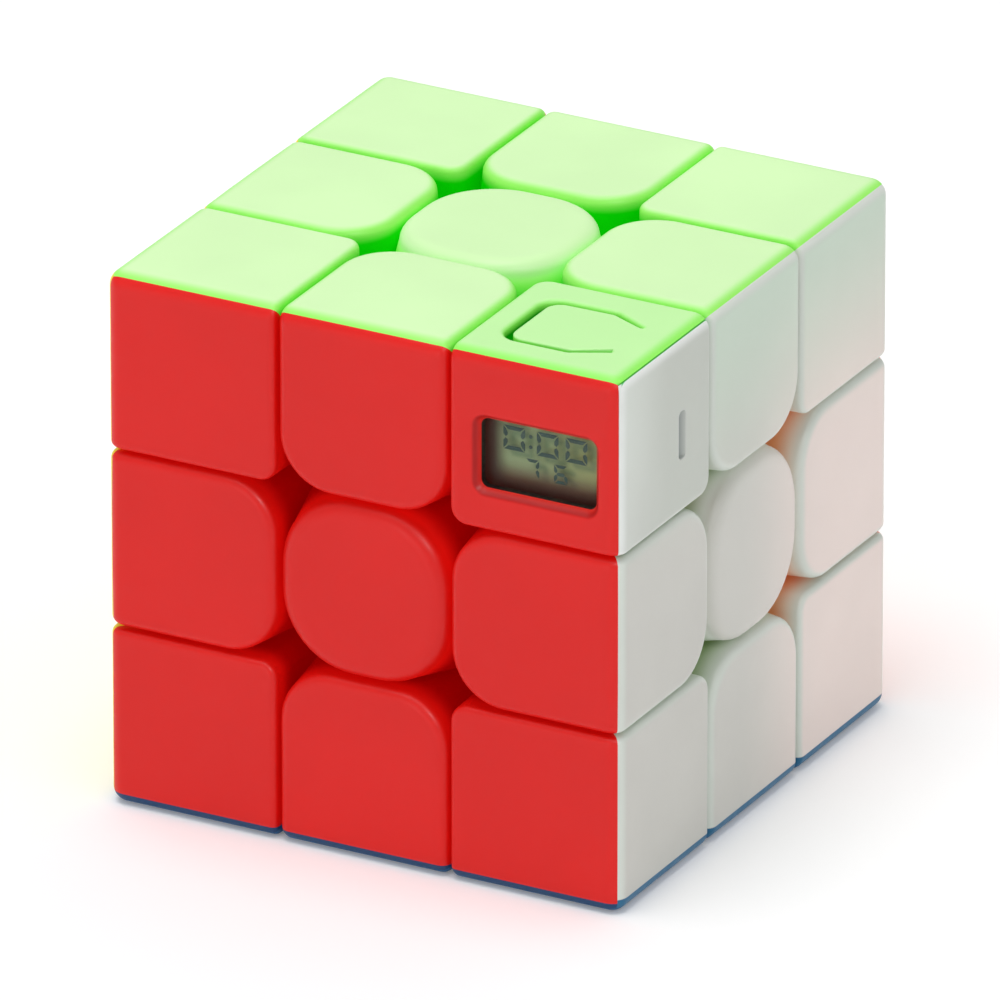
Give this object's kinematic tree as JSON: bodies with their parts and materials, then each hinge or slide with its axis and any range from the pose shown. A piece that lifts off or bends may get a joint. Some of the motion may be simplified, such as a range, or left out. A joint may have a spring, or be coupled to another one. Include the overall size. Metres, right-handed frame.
{
  "type": "speed cube timer",
  "caption": "Stickerless twisty cube, three by three by three, with a stopwatch built into one corner: display window, start button and battery cover.",
  "frame": {"origin": "centre of the cube, on the core's centre", "axes": "+X towards the white side with the battery cover, -Y towards the red side with the display, +Z towards the green side with the start button"},
  "size_m": [0.056, 0.056, 0.056],
  "materials": {
    "green_plastic": "satin",
    "blue_plastic": "satin",
    "red_plastic": "satin",
    "orange_plastic": "satin",
    "white_plastic": "satin",
    "yellow_plastic": "satin",
    "black_plastic": "moulded",
    "steel": "plated",
    "clear_plastic": "polished",
    "lcd_glass": "display glass",
    "rubber_strip": "moulded",
    "board": "solder mask",
    "switch_plastic": "moulded",
    "contact_metal": "bright"
  },
  "bodies": {
    "core": {"core_spider": "black_plastic", "tension_screws": "steel", "tension_springs": "steel"},
    "top_centre": {"centre_top_base": "green_plastic", "centre_top_cap": "green_plastic"},
    "bottom_centre": {"centre_bottom_base": "blue_plastic", "centre_bottom_cap": "blue_plastic"},
    "front_centre": {"centre_front_base": "red_plastic", "centre_front_cap": "red_plastic"},
    "back_centre": {"centre_back_base": "orange_plastic", "centre_back_cap": "orange_plastic"},
    "right_centre": {"centre_right_base": "white_plastic", "centre_right_cap": "white_plastic"},
    "left_centre": {"centre_left_base": "yellow_plastic", "centre_left_cap": "yellow_plastic"},
    "top_front_edge": {"edge_top_front": "green_plastic"},
    "top_back_edge": {"edge_top_back": "green_plastic"},
    "bottom_front_edge": {"edge_bottom_front": "blue_plastic"},
    "bottom_back_edge": {"edge_bottom_back": "blue_plastic"},
    "top_left_edge": {"edge_top_left": "green_plastic"},
    "top_right_edge": {"edge_top_right": "green_plastic"},
    "bottom_left_edge": {"edge_bottom_left": "blue_plastic"},
    "bottom_right_edge": {"edge_bottom_right": "blue_plastic"},
    "front_left_edge": {"edge_front_left": "red_plastic"},
    "front_right_edge": {"edge_front_right": "red_plastic"},
    "back_left_edge": {"edge_back_left": "orange_plastic"},
    "back_right_edge": {"edge_back_right": "orange_plastic"},
    "top_front_left_corner": {"corner_top_front_left_green": "green_plastic", "corner_top_front_left_red": "red_plastic", "corner_top_front_left_yellow": "yellow_plastic"},
    "timer_corner": {"timer_housing": "red_plastic", "timer_top_shell": "green_plastic", "lcd_window_lens": "clear_plastic", "lcd_panel": "lcd_glass", "lcd_connector": "rubber_strip", "circuit_board": "board", "start_switch": "switch_plastic", "coin_cells": "steel", "battery_contacts": "contact_metal"},
    "top_back_left_corner": {"corner_top_back_left_green": "green_plastic", "corner_top_back_left_orange": "orange_plastic", "corner_top_back_left_yellow": "yellow_plastic"},
    "top_back_right_corner": {"corner_top_back_right_green": "green_plastic", "corner_top_back_right_orange": "orange_plastic", "corner_top_back_right_white": "white_plastic"},
    "bottom_front_left_corner": {"corner_bottom_front_left_blue": "blue_plastic", "corner_bottom_front_left_red": "red_plastic", "corner_bottom_front_left_yellow": "yellow_plastic"},
    "bottom_front_right_corner": {"corner_bottom_front_right_blue": "blue_plastic", "corner_bottom_front_right_red": "red_plastic", "corner_bottom_front_right_white": "white_plastic"},
    "bottom_back_left_corner": {"corner_bottom_back_left_blue": "blue_plastic", "corner_bottom_back_left_orange": "orange_plastic", "corner_bottom_back_left_yellow": "yellow_plastic"},
    "bottom_back_right_corner": {"corner_bottom_back_right_blue": "blue_plastic", "corner_bottom_back_right_orange": "orange_plastic", "corner_bottom_back_right_white": "white_plastic"},
    "start_button": {"timer_button": "green_plastic"},
    "battery_door": {"battery_cover": "white_plastic"}
  },
  "joints": [
    {"name": "top_turn", "type": "hinge", "parent": "core", "child": "top_centre", "pos_m": [0, 0, 0], "axis": [0, 0, 1], "continuous": true},
    {"name": "bottom_turn", "type": "hinge", "parent": "core", "child": "bottom_centre", "pos_m": [0, 0, 0], "axis": [0, 0, -1], "continuous": true},
    {"name": "front_turn", "type": "hinge", "parent": "core", "child": "front_centre", "pos_m": [0, 0, 0], "axis": [0, -1, 0], "continuous": true},
    {"name": "back_turn", "type": "hinge", "parent": "core", "child": "back_centre", "pos_m": [0, 0, 0], "axis": [0, 1, 0], "continuous": true},
    {"name": "right_turn", "type": "hinge", "parent": "core", "child": "right_centre", "pos_m": [0, 0, 0], "axis": [1, 0, 0], "continuous": true},
    {"name": "left_turn", "type": "hinge", "parent": "core", "child": "left_centre", "pos_m": [0, 0, 0], "axis": [-1, 0, 0], "continuous": true},
    {"name": "top_front_edge_with_front", "type": "hinge", "parent": "top_centre", "child": "top_front_edge", "pos_m": [0, 0, 0], "axis": [0, -1, 0], "continuous": true},
    {"name": "top_back_edge_with_top", "type": "hinge", "parent": "back_centre", "child": "top_back_edge", "pos_m": [0, 0, 0], "axis": [0, 0, 1], "continuous": true},
    {"name": "bottom_front_edge_with_bottom", "type": "hinge", "parent": "front_centre", "child": "bottom_front_edge", "pos_m": [0, 0, 0], "axis": [0, 0, -1], "continuous": true},
    {"name": "bottom_back_edge_with_back", "type": "hinge", "parent": "bottom_centre", "child": "bottom_back_edge", "pos_m": [0, 0, 0], "axis": [0, 1, 0], "continuous": true},
    {"name": "top_left_edge_with_left", "type": "hinge", "parent": "top_centre", "child": "top_left_edge", "pos_m": [0, 0, 0], "axis": [-1, 0, 0], "continuous": true},
    {"name": "top_right_edge_with_top", "type": "hinge", "parent": "right_centre", "child": "top_right_edge", "pos_m": [0, 0, 0], "axis": [0, 0, 1], "continuous": true},
    {"name": "bottom_left_edge_with_left", "type": "hinge", "parent": "bottom_centre", "child": "bottom_left_edge", "pos_m": [0, 0, 0], "axis": [-1, 0, 0], "continuous": true},
    {"name": "bottom_right_edge_with_bottom", "type": "hinge", "parent": "right_centre", "child": "bottom_right_edge", "pos_m": [0, 0, 0], "axis": [0, 0, -1], "continuous": true},
    {"name": "front_left_edge_with_left", "type": "hinge", "parent": "front_centre", "child": "front_left_edge", "pos_m": [0, 0, 0], "axis": [-1, 0, 0], "continuous": true},
    {"name": "front_right_edge_with_front", "type": "hinge", "parent": "right_centre", "child": "front_right_edge", "pos_m": [0, 0, 0], "axis": [0, -1, 0], "continuous": true},
    {"name": "back_left_edge_with_left", "type": "hinge", "parent": "back_centre", "child": "back_left_edge", "pos_m": [0, 0, 0], "axis": [-1, 0, 0], "continuous": true},
    {"name": "back_right_edge_with_back", "type": "hinge", "parent": "right_centre", "child": "back_right_edge", "pos_m": [0, 0, 0], "axis": [0, 1, 0], "continuous": true},
    {"name": "top_front_left_corner_with_front", "type": "hinge", "parent": "top_left_edge", "child": "top_front_left_corner", "pos_m": [0, 0, 0], "axis": [0, -1, 0], "continuous": true},
    {"name": "timer_corner_with_front", "type": "hinge", "parent": "top_right_edge", "child": "timer_corner", "pos_m": [0, 0, 0], "axis": [0, -1, 0], "continuous": true},
    {"name": "top_back_left_corner_with_back", "type": "hinge", "parent": "top_left_edge", "child": "top_back_left_corner", "pos_m": [0, 0, 0], "axis": [0, 1, 0], "continuous": true},
    {"name": "top_back_right_corner_with_back", "type": "hinge", "parent": "top_right_edge", "child": "top_back_right_corner", "pos_m": [0, 0, 0], "axis": [0, 1, 0], "continuous": true},
    {"name": "bottom_front_left_corner_with_front", "type": "hinge", "parent": "bottom_left_edge", "child": "bottom_front_left_corner", "pos_m": [0, 0, 0], "axis": [0, -1, 0], "continuous": true},
    {"name": "bottom_front_right_corner_with_front", "type": "hinge", "parent": "bottom_right_edge", "child": "bottom_front_right_corner", "pos_m": [0, 0, 0], "axis": [0, -1, 0], "continuous": true},
    {"name": "bottom_back_left_corner_with_back", "type": "hinge", "parent": "bottom_left_edge", "child": "bottom_back_left_corner", "pos_m": [0, 0, 0], "axis": [0, 1, 0], "continuous": true},
    {"name": "bottom_back_right_corner_with_back", "type": "hinge", "parent": "bottom_right_edge", "child": "bottom_back_right_corner", "pos_m": [0, 0, 0], "axis": [0, 1, 0], "continuous": true},
    {"name": "button_press", "type": "hinge", "parent": "timer_corner", "child": "start_button", "pos_m": [0.0237, -0.01867, 0.0272], "axis": [0, -1, 0], "range_deg": [0, 3.4], "stiffness_Nm_per_rad": 0.24},
    {"name": "cover_pull", "type": "slide", "parent": "timer_corner", "child": "battery_door", "axis": [1, 0, 0], "range_m": [0, 0.008]}
  ],
  "couplings": [
    {"joint": "top_front_edge_with_front", "follows": "front_turn", "ratio": 1},
    {"joint": "top_back_edge_with_top", "follows": "top_turn", "ratio": 1},
    {"joint": "bottom_front_edge_with_bottom", "follows": "bottom_turn", "ratio": 1},
    {"joint": "bottom_back_edge_with_back", "follows": "back_turn", "ratio": 1},
    {"joint": "top_left_edge_with_left", "follows": "left_turn", "ratio": 1},
    {"joint": "top_right_edge_with_top", "follows": "top_turn", "ratio": 1},
    {"joint": "bottom_left_edge_with_left", "follows": "left_turn", "ratio": 1},
    {"joint": "bottom_right_edge_with_bottom", "follows": "bottom_turn", "ratio": 1},
    {"joint": "front_left_edge_with_left", "follows": "left_turn", "ratio": 1},
    {"joint": "front_right_edge_with_front", "follows": "front_turn", "ratio": 1},
    {"joint": "back_left_edge_with_left", "follows": "left_turn", "ratio": 1},
    {"joint": "back_right_edge_with_back", "follows": "back_turn", "ratio": 1},
    {"joint": "top_front_left_corner_with_front", "follows": "front_turn", "ratio": 1},
    {"joint": "timer_corner_with_front", "follows": "front_turn", "ratio": 1},
    {"joint": "top_back_left_corner_with_back", "follows": "back_turn", "ratio": 1},
    {"joint": "top_back_right_corner_with_back", "follows": "back_turn", "ratio": 1},
    {"joint": "bottom_front_left_corner_with_front", "follows": "front_turn", "ratio": 1},
    {"joint": "bottom_front_right_corner_with_front", "follows": "front_turn", "ratio": 1},
    {"joint": "bottom_back_left_corner_with_back", "follows": "back_turn", "ratio": 1},
    {"joint": "bottom_back_right_corner_with_back", "follows": "back_turn", "ratio": 1}
  ]
}
